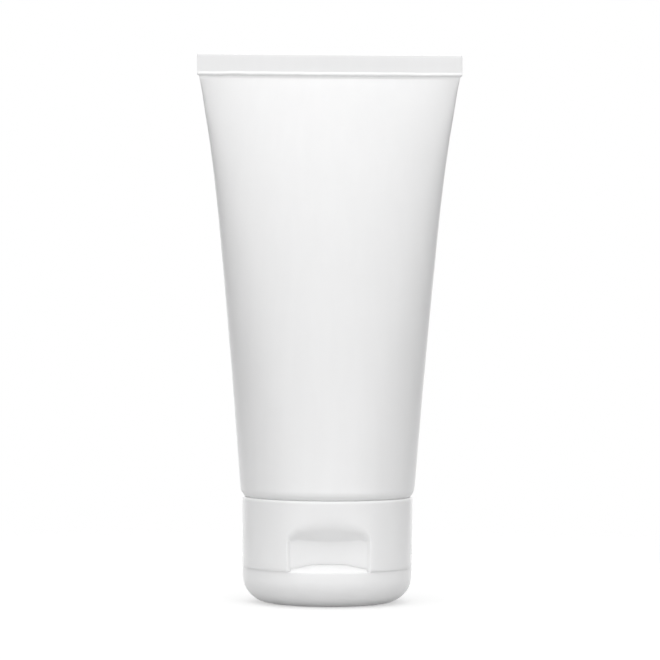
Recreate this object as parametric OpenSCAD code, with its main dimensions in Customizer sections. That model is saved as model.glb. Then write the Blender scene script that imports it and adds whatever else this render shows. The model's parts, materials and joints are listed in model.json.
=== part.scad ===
// Squeeze tube of shaving cream that stands on its flip-top cap.
// Origin at the centre of the flat underside of the lid, +Z up, thumb recess towards -Y,
// hinge towards +Y, crimped end of the tube on top and parallel to X.

/* [Tube sleeve] */
// Outer diameter of the sleeve before it is filled, which is also the cap's at its seam
tube_d = 40; // [36:0.5:50]
// Length of the sleeve, from its edge above the cap to the crimped end
sleeve_len = 104.4; // [80:0.2:140]
// Wall of the sleeve
sleeve_wall = 0.5; // [0.35:0.05:0.7]
// How far the filled sleeve swells past its round size just above the head
swell = 0.53; // [0.2:0.01:0.8]
// Share of the widening towards the crimp that grows evenly with height
even_share = 0.8; // [0.6:0.01:1]
// Power of the rest of the widening, which comes close below the crimp
flare_power = 6.3; // [3:0.1:10]
// Share of its depth that the sleeve loses towards the crimp, where its section turns squarer
wedge = 0.55; // [0:0.05:0.7]
// Power with which that share comes on from the round end
wedge_power = 4; // [2:0.5:6]
// Height of the rounded lower edge of the sleeve
edge_h = 2.4; // [1.5:0.1:3]
// How far the lower edge rounds in
edge_in = 0.58; // [0.3:0.02:0.8]

/* [Crimp] */
// Height of the flat welded band
crimp_h = 4.1; // [2.5:0.1:8]
// Thickness of the flat welded band
crimp_t = 0.9; // [0.7:0.05:1.2]
// Height of the bead of plastic pressed out below the band
bead_h = 1.2; // [0.8:0.1:2]
// How far the bead stands out of the band on each face
bead_out = 0.28; // [0.1:0.02:0.5]

/* [Tube head] */
// Outer diameter of the neck under its thread
neck_d = 16; // [13:0.5:20]
// Wall of the neck
neck_wall = 1.5; // [1:0.1:2]
// How far the shoulder drops from its rim to the neck
shoulder_drop = 2.4; // [1.5:0.1:4]
// Thickness of the shoulder, measured upright
shoulder_t = 1.25; // [0.8:0.05:1.8]
// Height of the rim that the sleeve is welded round
rim_h = 1.75; // [1.2:0.05:2.2]
// Gap between that rim and the sleeve's facets
weld_gap = 0.05; // [0.03:0.01:0.1]

/* [Thread] */
// Height of the thread ridge on the neck
thread_h = 1.0; // [0.6:0.05:1.4]
// Rise of the thread in one turn
thread_lead = 3.2; // [2.4:0.1:4]
// Width of a ridge at its root
ridge_root = 2.1; // [1.4:0.1:2.3]
// Width of a ridge at its crest
ridge_crest = 0.9; // [0.5:0.1:1.2]
// Radial clearance between the cap's thread and the neck's
thread_clear = 0.22; // [0.15:0.01:0.35]

/* [Cap] */
// Height of the whole closed cap
cap_h = 25; // [23:0.5:32]
// Height of the lid, up to the seam
lid_h = 8.4; // [7.5:0.1:10]
// Radius of the lid's rounded lower edge
lid_round = 6.4; // [4:0.1:7]
// Wall of the skirt and the lid
cap_wall = 1.4; // [1.1:0.1:1.7]
// Thickness of the lid's flat floor
lid_floor = 1.6; // [1.2:0.1:2]
// How much wider the skirt is at its top than at the seam, on radius
skirt_flare = 0.15; // [0:0.05:0.3]
// Bevel on the skirt's top edge
top_bevel = 0.3; // [0.1:0.05:0.5]
// Gap between the lid and the base all round
seam_gap = 0.14; // [0.1:0.01:0.2]
// Gap between the skirt and the sleeve
groove = 0.15; // [0.1:0.01:0.3]
// Height of the deck above the seam
deck_up = 1.8; // [1.2:0.1:2.5]
// Thickness of the deck and of the ribs' roots
deck_t = 1.4; // [1:0.1:2]
// Height of the ribs above the deck
rib_h = 3.5; // [2:0.1:5]
// Number of ribs between the collar and the skirt
rib_count = 8; // [4:1:12]
// Thickness of a rib
rib_t = 1.0; // [0.8:0.1:1.4]

/* [Thumb recess] */
// Width of the recess
recess_w = 18.8; // [14:0.2:22]
// Depth of the recess in the middle
recess_depth = 3.0; // [2:0.1:3.5]
// Height of the recess's front edge above the seam
recess_h = 11.0; // [9:0.1:12]
// Height of the recess's back wall above the seam
recess_back_h = 7.1; // [5.5:0.1:8]
// Height of the lid's thumb lip above the seam
lip_h = 1.9; // [1:0.1:2.4]
// Gap between the lip and the recess
lip_clear = 0.12; // [0.08:0.01:0.2]

/* [Spout] */
// Diameter of the outlet
spout_bore = 5.0; // [3:0.1:7]
// Wall of the spout round the outlet
spout_wall = 1.5; // [1:0.1:2]
// Length of the spout below the deck
spout_len = 2.8; // [2:0.1:4]
// Radial clearance of the lid's plug in the outlet
plug_clear = 0.1; // [0.06:0.01:0.14]
// How far the plug reaches into the spout
plug_engage = 2.5; // [1.5:0.1:2.8]

/* [Seals] */
// Thickness of the washer between the deck and the neck
washer_t = 1.3; // [0.8:0.1:1.8]
// Diameter of the hole in the washer
washer_hole = 8; // [6:0.5:10]
// Play between the washer and the foil
washer_gap = 0.05; // [0.03:0.01:0.1]
// Thickness of the foil, and of its pull tab
foil_t = 0.1; // [0.06:0.01:0.15]

/* [Hinge] */
// Depth of the flat at the back of the cap that makes room for the hinge
flat_in = 1.5; // [1.2:0.1:1.8]
// How far the hinge line stands out of the flat
hinge_out = 0.7; // [0.6:0.05:0.9]
// Width of the snap strap in the middle
strap_w = 4.4; // [3:0.1:5]
// Thickness of the snap strap
strap_t = 0.55; // [0.4:0.05:0.6]
// Length of the snap strap on each side of the seam
strap_reach = 3.4; // [2.5:0.1:4.5]
// Width of each hinge film
film_w = 3.4; // [2.5:0.1:4]
// Thickness of a hinge film
film_t = 0.35; // [0.25:0.05:0.5]
// Space between the strap and each film
film_gap = 0.7; // [0.5:0.1:1.2]

/* [Hidden] */

$fn = 96;
slack = 1;                                   // overshoot of a cutting tool
tube_r = tube_d / 2;
cap_r = tube_r;
flat_half = PI * tube_r / 2;                 // half width of the sleeve pressed flat

// Heights, from the lid up
base_z = lid_h + seam_gap;
deck_z = base_z + deck_up;
deck_top = deck_z + deck_t;
washer_top = deck_top + washer_t;
mouth_z = washer_top + washer_gap + 2 * foil_t;
sleeve_z = cap_h + groove;
neck_root_z = sleeve_z - shoulder_drop;
rim_top = sleeve_z + rim_h;
total_h = sleeve_z + sleeve_len;
band_z = total_h - crimp_h;
bead_z = band_z - bead_h;

// Neck and collar
neck_r = neck_d / 2;
bore_r = neck_r - neck_wall;
crest_r = neck_r + thread_h;
collar_r = crest_r + thread_clear;
collar_out = collar_r + cap_wall;
collar_gap = 0.4;                            // between the collar's top and the shoulder
collar_top = neck_root_z - collar_gap;
ridge_sink = 0.25;                           // how deep a ridge's root sits in its wall
thread_margin = 0.45;                        // plain wall left beyond each end of a thread
neck_turns = (neck_root_z - mouth_z - ridge_root - 2 * thread_margin) / thread_lead;
neck_thread_z = mouth_z + thread_margin + ridge_root / 2;
collar_thread_z = neck_thread_z + thread_lead / 2;
collar_turns = (collar_top - collar_thread_z - thread_margin - ridge_root / 2) / thread_lead;
turn_steps = 48;                             // sections in one turn of a thread
run_out = 30;                                // degrees over which a thread fades in and out

// Thumb recess and lip
recess_y = cap_r - recess_depth;
recess_top = lid_h + recess_h;
recess_back = lid_h + recess_back_h;
ceiling_centre = 1.5 * cap_r;                // centre of the ceiling's cone, behind the cap
ceiling_slope = recess_depth / (recess_h - recess_back_h);
lip_seat = 3;                                // depth of the pad that carries the lip
rib_gap = 0.1;                               // keeps the ribs inside the recess's back wall

// Hinge
flat_y = cap_r - flat_in;
hinge_y = flat_y + hinge_out;
hinge_z = lid_h + seam_gap / 2;
flat_w = 2 * sqrt(cap_r * cap_r - flat_y * flat_y);
flat_spare = 0.9;                            // how far the base's flat runs past the open lid
skin_gap = 0.02;                             // keeps thin pieces off the faces they lie on
film_reach = 0.95;                           // reach of a film on each side of the seam
film_x = strap_w / 2 + film_gap + film_w / 2;

// Spout
spout_r = spout_bore / 2;
spout_z = deck_z - spout_len;
plug_r = spout_r - plug_clear;
plug_top = spout_z + plug_engage;
plug_taper = 0.5;                            // bevel on the plug's tip

// Sleeve sections
around = 64;                                 // points round one section
side_rings = 22;                             // sections between the lower edge and the bead
edge_rings = 4;                              // sections in the rounded lower edge
form_z = sleeve_z + edge_h / 2;              // where the sleeve starts to flatten
arch_power = ln(2) / ln(PI / 2);             // ties width and depth at a constant girth
cream_gap = 0.25;                            // between the cream and what holds it
head_space = 9;                              // air left below the bead
bead_low = 0.35;                             // share of its height where the bead gets full
bead_high = 0.6;                             // share of its height where it starts to thin
seal_inset = 0.1;                            // of the foil's and the washer's edge from the neck's

// Half width of the sleeve at height z.
function rise(z) = min(1, max(0, (z - form_z) / (bead_z - form_z)));
function widening(t) = even_share * t + (1 - even_share) * pow(t, flare_power);
function girth_half(z) = tube_r + (flat_half - tube_r) * widening(rise(z));
function half_w(z) = girth_half(z) + swell * (1 - rise(z));

// Half depth of the sleeve at height z, from the same girth all the way up. The squarer
// section near the crimp takes some of it.
function arch(a) = pow(max(0, pow(flat_half, arch_power) - pow(a, arch_power)), 1 / arch_power);
function wedging(t) = 1 - wedge * pow(t, wedge_power);
function half_d(z) =
    max(crimp_t / 2, arch(girth_half(z)) * wedging(rise(z)) + swell * (1 - rise(z)));

// How far the outside rounds in at the lower edge.
function edge_cut(z) = let(u = min(1, (z - sleeve_z) / edge_h)) edge_in * (1 - sqrt(u * (2 - u)));

// A section is [half width, half depth, height].
function outer_section(z) = [half_w(z) - edge_cut(z), half_d(z) - edge_cut(z), z];
weld_run = 1.2;                              // height over which the inside leaves the weld
slit_end = 0.6;                              // distance from the bead to where the walls meet
slit_half = 0.12;                            // half of the gap left between them there
inner_start = rim_top + weld_run;
inner_end = bead_z - slit_end;
function inner_section(z) = [half_w(z) - sleeve_wall, max(slit_half, half_d(z) - sleeve_wall), z];

outer_sections = concat(
    [for (i = [0 : edge_rings - 1]) outer_section(sleeve_z + edge_h * i / edge_rings)],
    [for (i = [0 : side_rings])
        outer_section(sleeve_z + edge_h + (bead_z - sleeve_z - edge_h) * i / side_rings)],
    [[flat_half, crimp_t / 2 + bead_out, bead_z + bead_h * bead_low],
     [flat_half, crimp_t / 2 + bead_out, bead_z + bead_h * bead_high],
     [flat_half, crimp_t / 2, band_z],
     [flat_half, crimp_t / 2, total_h]]);
inner_sections = concat(
    [[tube_r - sleeve_wall, tube_r - sleeve_wall, sleeve_z],
     [tube_r - sleeve_wall, tube_r - sleeve_wall, rim_top]],
    [for (i = [0 : side_rings])
        inner_section(inner_start + (inner_end - inner_start) * i / side_rings)]);

// Points of one section, and of a stack of them.
function ring(s) = [for (i = [0 : around - 1])
    [s[0] * cos(360 * i / around), s[1] * sin(360 * i / around), s[2]]];
function stack(sections) = [for (s = sections) each ring(s)];

// Quads between neighbouring sections, facing out, or facing in when flipped.
function skin(first, count, flip = false) = [for (j = [0 : count - 2], i = [0 : around - 1])
    let(k = (i + 1) % around,
        a = first + j * around + i,
        b = first + j * around + k,
        c = b + around,
        d = a + around)
    flip ? [a, b, c, d] : [d, c, b, a]];

// A closed solid through a stack of sections.
module loft(sections) {
    count = len(sections);
    last = (count - 1) * around;
    polyhedron(
        points = stack(sections),
        faces = concat(
            skin(0, count),
            [[for (i = [0 : around - 1]) i]],
            [[for (i = [around - 1 : -1 : 0]) last + i]]),
        convexity = 4);
}

// A closed shell between an outer and an inner stack, open at the bottom.
module shell(outer, inner) {
    n = len(outer);
    m = len(inner);
    first = n * around;
    polyhedron(
        points = concat(stack(outer), stack(inner)),
        faces = concat(
            skin(0, n),
            skin(first, m, true),
            [[for (i = [around - 1 : -1 : 0]) (n - 1) * around + i]],
            [[for (i = [0 : around - 1]) first + (m - 1) * around + i]],
            [for (i = [0 : around - 1])
                let(k = (i + 1) % around) [i, k, first + k, first + i]]),
        convexity = 6);
}

// A helical ridge. root and tip are radii, and side is +1 for a ridge that stands
// out of a neck and -1 for one that stands into a collar.
module thread_ridge(root, tip, side, turns) {
    steps = ceil(turns * turn_steps);
    fade = run_out * turn_steps / 360;
    foot = root - side * ridge_sink;
    points = [for (i = [0 : steps])
        let(angle = 360 * turns * i / steps,
            z = thread_lead * turns * i / steps,
            grow = min(1, min(i, steps - i) / fade),
            top = root + side * skin_gap + (tip - root - side * skin_gap) * grow)
        each [for (p = [[foot, -ridge_root / 2], [top, -ridge_crest / 2],
                        [top, ridge_crest / 2], [foot, ridge_root / 2]])
            [p[0] * cos(angle), p[0] * sin(angle), z + p[1]]]];
    sides = [for (i = [0 : steps - 1], j = [0 : 3])
        let(k = (j + 1) % 4)
        side > 0
            ? [4 * i + j, 4 * i + k, 4 * i + 4 + k, 4 * i + 4 + j]
            : [4 * i + 4 + j, 4 * i + 4 + k, 4 * i + k, 4 * i + j]];
    near = side > 0 ? [3, 2, 1, 0] : [0, 1, 2, 3];
    far = [for (j = [3, 2, 1, 0]) 4 * steps + (side > 0 ? 3 - j : j)];
    polyhedron(points = points, faces = concat(sides, [near], [far]), convexity = 8);
}

// Half profile of a pot with a rounded lower edge, from r = 0.
module pot_profile(radius, bottom, top, rounding) {
    translate([0, bottom]) square([radius - rounding, top - bottom]);
    translate([0, bottom + rounding]) square([radius, top - bottom - rounding]);
    translate([radius - rounding, bottom + rounding]) circle(r = rounding);
}

// The plain sleeve: round at the head, flat at the crimp.
module tube_sleeve() {
    color([0.93, 0.93, 0.93]) shell(outer_sections, inner_sections);
}

// Shoulder and threaded neck, one moulding.
module tube_head() {
    rim_r = tube_r - sleeve_wall - weld_gap;
    seat_r = cap_r - cap_wall - 2 * groove;
    color([0.88, 0.88, 0.86]) union() {
        rotate_extrude() polygon([
            [bore_r, mouth_z],
            [neck_r, mouth_z],
            [neck_r, neck_root_z],
            [seat_r, sleeve_z],
            [rim_r, sleeve_z],
            [rim_r, rim_top],
            [rim_r - shoulder_t / 2, rim_top],
            [seat_r, sleeve_z + shoulder_t],
            [bore_r, neck_root_z + shoulder_t]]);
        translate([0, 0, neck_thread_z])
            thread_ridge(neck_r, crest_r, 1, neck_turns);
    }
}

// Peel-off foil over the neck's mouth, with a half-moon pull tab on its face.
module foil_seal() {
    foil_r = neck_r - seal_inset;
    color([0.75, 0.76, 0.78]) union() {
        translate([0, 0, mouth_z - foil_t]) cylinder(r = foil_r, h = foil_t);
        translate([0, 0, mouth_z - 2 * foil_t]) intersection() {
            cylinder(r = foil_r, h = foil_t);
            translate([-foil_r, 0, 0]) cube([2 * foil_r, foil_r, foil_t]);
        }
    }
}

// The cream, from the neck up to the air space below the crimp.
module cream_fill() {
    low = rim_top + cream_gap;
    top = bead_z - head_space;
    count = 12;
    neck_cream = bore_r - cream_gap;
    wide = tube_r - sleeve_wall - shoulder_t;
    body = [for (i = [0 : count])
        let(z = inner_start + (top - inner_start) * i / count,
            s = inner_section(z))
        [s[0] - cream_gap, s[1] - cream_gap, z]];
    color([0.97, 0.97, 0.95]) loft(concat(
        [[neck_cream, neck_cream, mouth_z + cream_gap],
         [neck_cream, neck_cream, neck_root_z + shoulder_t + cream_gap],
         [wide, wide, low]],
        body));
}

// Loose ring that seals the neck's mouth against the deck.
module sealing_washer() {
    washer_r = neck_r - seal_inset;
    color([0.82, 0.84, 0.86])
        translate([0, 0, deck_top]) difference() {
            cylinder(r = washer_r, h = washer_t);
            translate([0, 0, -slack]) cylinder(d = washer_hole, h = washer_t + 2 * slack);
        }
}

// Block behind the thumb recess, before the recess is cut.
module recess_backing() {
    half = recess_w / 2 + cap_wall;
    intersection() {
        translate([0, 0, base_z]) cylinder(r = cap_r - cap_wall / 2, h = recess_top + cap_wall - base_z);
        translate([-half, -cap_r, base_z])
            cube([2 * half, recess_depth + cap_wall, recess_top + cap_wall - base_z]);
    }
}

// Space of the thumb recess: upright walls under a ceiling that slopes out and up.
module recess_space() {
    low = recess_back;
    high = recess_h - recess_back_h + slack;
    back_r = ceiling_centre + recess_y;
    difference() {
        translate([-recess_w / 2, -cap_r - slack, base_z - slack])
            cube([recess_w, recess_depth + slack, recess_top - base_z + 2 * slack]);
        translate([0, ceiling_centre, low])
            cylinder(r1 = back_r, r2 = back_r + high * ceiling_slope, h = high + slack, $fn = 180);
    }
}

// Flat at the back, from z1 up to z2, that the hinge pieces lie in.
module back_flat(z1, z2) {
    translate([-flat_w, flat_y, z1]) cube([2 * flat_w, flat_in + slack, z2 - z1]);
}

// Wall behind that flat.
module back_pad(z1, z2) {
    intersection() {
        translate([0, 0, z1]) cylinder(r = cap_r - cap_wall / 2, h = z2 - z1);
        translate([-flat_w / 2 - cap_wall, flat_y - cap_wall, z1])
            cube([flat_w + 2 * cap_wall, cap_wall + slack, z2 - z1]);
    }
}

// Skirt, deck, threaded collar, ribs and spout, one moulding.
module cap_base() {
    inner = cap_r - cap_wall;
    flat_top = base_z + lid_h + flat_spare;
    color([0.91, 0.91, 0.91]) union() {
        difference() {
            union() {
                rotate_extrude() polygon([
                    [inner, base_z],
                    [cap_r, base_z],
                    [cap_r + skirt_flare, cap_h - top_bevel],
                    [cap_r + skirt_flare - top_bevel, cap_h],
                    [inner, cap_h]]);
                recess_backing();
                back_pad(base_z, flat_top + cap_wall);
            }
            recess_space();
            back_flat(base_z - slack, flat_top);
        }
        difference() {
            intersection() {
                translate([0, 0, deck_z]) cylinder(r = inner + cap_wall / 2, h = deck_t);
                translate([-cap_r, -recess_y - slack, deck_z])
                    cube([2 * cap_r, recess_y + slack + flat_y, deck_t]);
            }
            translate([0, 0, deck_z - slack]) cylinder(r = spout_r, h = deck_t + 2 * slack);
            recess_space();
        }
        translate([0, 0, spout_z]) difference() {
            cylinder(r = spout_r + spout_wall, h = spout_len + deck_t / 2);
            translate([0, 0, -slack]) cylinder(r = spout_r, h = spout_len + deck_t + slack);
        }
        translate([0, 0, deck_top - deck_t / 2]) difference() {
            cylinder(r = collar_out, h = collar_top - deck_top + deck_t / 2);
            translate([0, 0, deck_t / 2]) cylinder(r = collar_r, h = collar_top);
            translate([0, 0, -slack]) cylinder(r = spout_r, h = deck_t + 2 * slack);
        }
        for (i = [0 : rib_count - 1])
            rotate([0, 0, 360 * (i + 0.5) / rib_count])
                translate([collar_out - cap_wall / 2, -rib_t / 2, deck_top - deck_t / 2])
                    cube([recess_y - collar_out + cap_wall / 2 - rib_gap, rib_t, rib_h + deck_t / 2]);
        translate([0, 0, collar_thread_z]) thread_ridge(collar_r, neck_r + thread_clear, -1, collar_turns);
    }
}

// Rounded lid with its plug and its thumb lip, one moulding.
module cap_lid() {
    inner = cap_r - cap_wall;
    lip_half = recess_w / 2 - lip_clear;
    lip_back = recess_y + lip_clear;
    color([0.89, 0.89, 0.89]) difference() {
        union() {
            rotate_extrude() intersection() {
                difference() {
                    pot_profile(cap_r, 0, lid_h, lid_round);
                    pot_profile(inner, lid_floor, lid_h + slack, lid_round - cap_wall);
                }
                square([cap_r + slack, lid_h]);
            }
            intersection() {
                union() {
                    translate([0, 0, lid_h - lip_seat])
                        cylinder(r = cap_r - cap_wall / 2, h = lip_seat);
                    translate([0, 0, lid_h])
                        cylinder(r1 = cap_r - skin_gap, r2 = recess_y - skin_gap, h = lip_h);
                }
                translate([-lip_half, -cap_r, lid_h - lip_seat])
                    cube([2 * lip_half, cap_r - lip_back, lip_seat + lip_h]);
            }
            intersection() {
                back_pad(lid_floor, lid_h);
                rotate_extrude() intersection() {
                    pot_profile(cap_r, 0, lid_h, lid_round);
                    square([cap_r + slack, lid_h]);
                }
            }
            translate([0, 0, lid_floor / 2])
                cylinder(r = plug_r, h = plug_top - plug_taper - lid_floor / 2);
            translate([0, 0, plug_top - plug_taper])
                cylinder(r1 = plug_r, r2 = plug_r - plug_taper, h = plug_taper);
        }
        back_flat(-slack, lid_h + slack);
    }
}

// One thin film, bent out from the base to the hinge line and back to the lid.
module hinge_film(x) {
    color([0.9, 0.9, 0.9])
        translate([x + film_w / 2, 0, 0]) rotate([0, -90, 0]) linear_extrude(film_w) polygon([
            [hinge_z - film_reach - film_t, flat_y + skin_gap],
            [hinge_z - film_reach + film_t, flat_y + skin_gap],
            [hinge_z, hinge_y - film_t / 2],
            [hinge_z + film_reach - film_t, flat_y + skin_gap],
            [hinge_z + film_reach + film_t, flat_y + skin_gap],
            [hinge_z, hinge_y + film_t / 2]]);
}

// Springy strap that snaps the lid open or shut.
module snap_strap() {
    color([0.9, 0.9, 0.9])
        translate([-strap_w / 2, flat_y + skin_gap, hinge_z - strap_reach])
            cube([strap_w, strap_t, 2 * strap_reach]);
}

tube_sleeve();
tube_head();
foil_seal();
cream_fill();
sealing_washer();
cap_base();
cap_lid();
hinge_film(-film_x);  // hinge_film_left
hinge_film(film_x);  // hinge_film_right
snap_strap();
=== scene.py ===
"""Looks of a squeeze tube that stands on its flip-top cap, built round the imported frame.

Sizes are in millimetres. Meshes and trees turn them into metres when they are made.
"""

import json  # noqa: E402
import logging  # noqa: E402
import math  # noqa: E402
from collections.abc import Callable, Sequence  # noqa: E402
from dataclasses import dataclass  # noqa: E402
from enum import Enum  # noqa: E402
from typing import Any  # noqa: E402

import bmesh  # noqa: E402
import bpy  # noqa: E402
from mathutils import Euler, Matrix, Vector, noise  # noqa: E402


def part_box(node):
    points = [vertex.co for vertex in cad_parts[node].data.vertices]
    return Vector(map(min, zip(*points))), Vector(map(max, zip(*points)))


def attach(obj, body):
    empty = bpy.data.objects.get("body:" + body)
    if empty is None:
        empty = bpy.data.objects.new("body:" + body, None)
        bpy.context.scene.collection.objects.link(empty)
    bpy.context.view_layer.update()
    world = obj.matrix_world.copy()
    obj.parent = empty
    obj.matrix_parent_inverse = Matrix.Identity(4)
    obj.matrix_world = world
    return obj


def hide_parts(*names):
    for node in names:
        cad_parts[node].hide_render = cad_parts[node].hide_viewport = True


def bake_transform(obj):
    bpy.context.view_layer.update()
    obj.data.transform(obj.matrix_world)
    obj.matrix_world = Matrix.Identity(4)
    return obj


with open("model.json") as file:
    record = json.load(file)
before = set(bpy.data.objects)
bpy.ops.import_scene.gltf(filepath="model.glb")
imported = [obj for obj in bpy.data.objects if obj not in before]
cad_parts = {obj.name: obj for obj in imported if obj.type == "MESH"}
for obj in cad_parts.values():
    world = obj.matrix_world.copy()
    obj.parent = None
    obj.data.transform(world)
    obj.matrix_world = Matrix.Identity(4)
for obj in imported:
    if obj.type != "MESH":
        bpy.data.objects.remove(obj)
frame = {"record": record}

log = logging.getLogger("squeeze_tube")

MM = 0.001
# Vertices closer than this, in metres, are one.
WELD = 5e-6
# A sine this small counts as zero, so that both ends of a section meet.
SEAM = 1e-6
# Shares above this one count as the end of a sheet.
NEARLY_ONE = 0.9999
# Faces round the sleeve.
SLEEVE_AROUND = 176
# How fast the sleeve's lower edge rounds in.
EDGE_POWER = 2.2
Point = tuple[float, float, float]
Colour = tuple[float, float, float]


class Slot(Enum):
    """Material slots of the record."""

    SLEEVE = "sleeve_plastic"
    HEAD = "head_plastic"
    FOIL = "foil"
    WASHER = "washer_foam"
    CAP = "cap_plastic"
    CREAM = "cream"


class Body(Enum):
    """Bodies of the frame that pieces ride on."""

    TUBE = "tube"
    SEAL = "seal"
    CAP = "cap"
    LID = "lid"


class Side(Enum):
    """Which way a thread ridge stands off its wall."""

    OUT = 1
    IN = -1


class Value:
    """A node socket that Python arithmetic adds Math nodes to."""

    def __init__(self, graph: "Graph", socket: bpy.types.NodeSocket) -> None:
        """Keep the graph and the socket."""
        self.graph = graph
        self.socket = socket

    def math(self, operation: str, *inputs: Any) -> "Value":
        """Return the result of a Math node."""
        return self.graph.out("ShaderNodeMath", {"operation": operation}, dict(enumerate(inputs)))

    def __add__(self, other: Any) -> "Value":
        """Return self + other."""
        return self.math("ADD", self, other)

    def __radd__(self, other: Any) -> "Value":
        """Return other + self."""
        return self.math("ADD", other, self)

    def __sub__(self, other: Any) -> "Value":
        """Return self - other."""
        return self.math("SUBTRACT", self, other)

    def __rsub__(self, other: Any) -> "Value":
        """Return other - self."""
        return self.math("SUBTRACT", other, self)

    def __mul__(self, other: Any) -> "Value":
        """Return self * other."""
        return self.math("MULTIPLY", self, other)

    def __rmul__(self, other: Any) -> "Value":
        """Return other * self."""
        return self.math("MULTIPLY", other, self)

    def __truediv__(self, other: Any) -> "Value":
        """Return self / other."""
        return self.math("DIVIDE", self, other)

    def __rtruediv__(self, other: Any) -> "Value":
        """Return other / self."""
        return self.math("DIVIDE", other, self)

    def __pow__(self, other: Any) -> "Value":
        """Return self ** other."""
        return self.math("POWER", self, other)

    def own(self, operation: str) -> "Value":
        """Return a Math node's result on this value alone."""
        return self.math(operation, self)

    def held(self, low: Any = None, high: Any = None) -> "Value":
        """Return the value held above low and below high, where they are given."""
        kept = self if low is None else self.math("MAXIMUM", self, low)
        return kept if high is None else kept.math("MINIMUM", kept, high)

    def ramp(self, low: Any, high: Any) -> "Value":
        """Return a smooth step that is 0 below low and 1 above high."""
        return self.graph.out(
            "ShaderNodeMapRange",
            {"interpolation_type": "SMOOTHSTEP", "clamp": True},
            {"Value": self, "From Min": low, "From Max": high},
        )


class Graph:
    """A node tree that is written as Python expressions."""

    def __init__(self, tree: bpy.types.NodeTree, empty: bool = True) -> None:
        """Keep the tree, and empty it unless it is to be added to."""
        self.tree = tree
        if empty:
            tree.nodes.clear()

    def node(
        self,
        kind: str,
        settings: dict[str, Any] | None = None,
        sockets: dict[int | str, Any] | None = None,
    ) -> bpy.types.Node:
        """Add one node.

        Args:
            kind: Blender's name of the node's type.
            settings: The node's own properties, which are set first.
            sockets: Input sockets by name or index, as values or links.

        Returns:
            The new node.
        """
        made = self.tree.nodes.new(kind)
        for name, value in (settings or {}).items():
            setattr(made, name, value)
        for key, value in (sockets or {}).items():
            target = made.inputs[key]
            if isinstance(value, Value):
                value = value.socket
            if isinstance(value, bpy.types.NodeSocket):
                self.tree.links.new(value, target)
            else:
                target.default_value = value
        return made

    def out(
        self,
        kind: str,
        settings: dict[str, Any] | None = None,
        sockets: dict[int | str, Any] | None = None,
        output: int | str = 0,
    ) -> Value:
        """Add one node and return one of its outputs.

        Args:
            kind: Blender's name of the node's type.
            settings: The node's own properties.
            sockets: Input sockets by name or index.
            output: The output's name or index.

        Returns:
            That output as a Value.
        """
        return Value(self, self.node(kind, settings, sockets).outputs[output])

    def noise(self, vector: Value, scale: float, detail: float = 2.0, seed: float = 0.0) -> Value:
        """Return a noise around 0.5 in four dimensions, with the seed as the fourth."""
        return self.out(
            "ShaderNodeTexNoise",
            {"noise_dimensions": "4D"},
            {"Vector": vector, "W": seed, "Scale": scale, "Detail": detail},
        )

    def stretch(self, vector: Value, scale: Point) -> Value:
        """Return the vector scaled along each axis."""
        return self.out("ShaderNodeVectorMath", {"operation": "MULTIPLY"}, {0: vector, 1: scale})

    def split(self, vector: Value) -> tuple[Value, Value, Value]:
        """Return the three parts of a vector."""
        parts = self.node("ShaderNodeSeparateXYZ", {}, {0: vector})
        return tuple(Value(self, parts.outputs[i]) for i in range(3))

    def vector(self, x: Any, y: Any, z: Any) -> Value:
        """Return a vector of three parts."""
        return self.out("ShaderNodeCombineXYZ", {}, {0: x, 1: y, 2: z})

    def placed(self, geometry: Value, spot: Value) -> Value:
        """Return the geometry with its points moved to a place in millimetres."""
        metres = self.out("ShaderNodeVectorMath", {"operation": "SCALE"}, {0: spot, "Scale": MM})
        return self.out("GeometryNodeSetPosition", {}, {"Geometry": geometry, "Position": metres})

    def blend(self, factor: Any, low: Colour, high: Colour) -> Value:
        """Return a colour between low and high."""
        mix = self.node(
            "ShaderNodeMix", {"data_type": "RGBA"}, {0: factor, 6: (*low, 1), 7: (*high, 1)}
        )
        return Value(self, mix.outputs[2])


def clamp(value: float, low: float = 0.0, high: float = 1.0) -> float:
    """Return the value held between low and high."""
    return min(high, max(low, value))


def soft_min(a: float, b: float, reach: float) -> float:
    """Return the smaller of a and b, with their corner rounded over reach."""
    share = clamp(0.5 + 0.5 * (b - a) / reach)
    return b + (a - b) * share - reach * share * (1 - share)


def soft_max(a: float, b: float, reach: float) -> float:
    """Return the larger of a and b, with their corner rounded over reach."""
    return -soft_min(-a, -b, reach)


def smooth(value: float, low: float, high: float) -> float:
    """Return a smooth step that is 0 at low and 1 at high."""
    t = clamp((value - low) / (high - low))
    return t * t * (3 - 2 * t)


def spread(low: float, high: float, step: float) -> list[float]:
    """Return even values from low to high, no further apart than step."""
    count = max(1, math.ceil((high - low) / step - 1e-6))
    return [low + (high - low) * i / count for i in range(count + 1)]


def arc(
    centre: tuple[float, float], radius: float, start: float, end: float, steps: int
) -> list[tuple[float, float]]:
    """Return points (r, z) on an arc.

    Args:
        centre: Centre of the arc as (r, z).
        radius: Its radius.
        start: First angle in degrees, from the +r direction towards +z.
        end: Last angle in degrees.
        steps: Number of steps.

    Returns:
        The points, both ends among them.
    """
    angles = [math.radians(start + (end - start) * i / steps) for i in range(steps + 1)]
    return [(centre[0] + radius * math.cos(a), centre[1] + radius * math.sin(a)) for a in angles]


def mirrored(spans: Sequence[tuple[float, float, float]]) -> list[float]:
    """Return angles all round from spans over one half.

    Args:
        spans: Tuples (start, end, step) in degrees from 0, the front, to 180, the back.

    Returns:
        Sorted angles in radians over a full turn, the last one not repeated.
    """
    half: set[float] = set()
    for start, end, step in spans:
        half.update(round(a, 5) for a in spread(start, end, step))
    full = half | {-a for a in half if 0 < a < 180}
    return [math.radians(a) for a in sorted(full)]


def place(angle: float, radius: float, z: float) -> Point:
    """Return the point at an angle from the front, a radius and a height."""
    return (radius * math.sin(angle), -radius * math.cos(angle), z)


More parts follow.
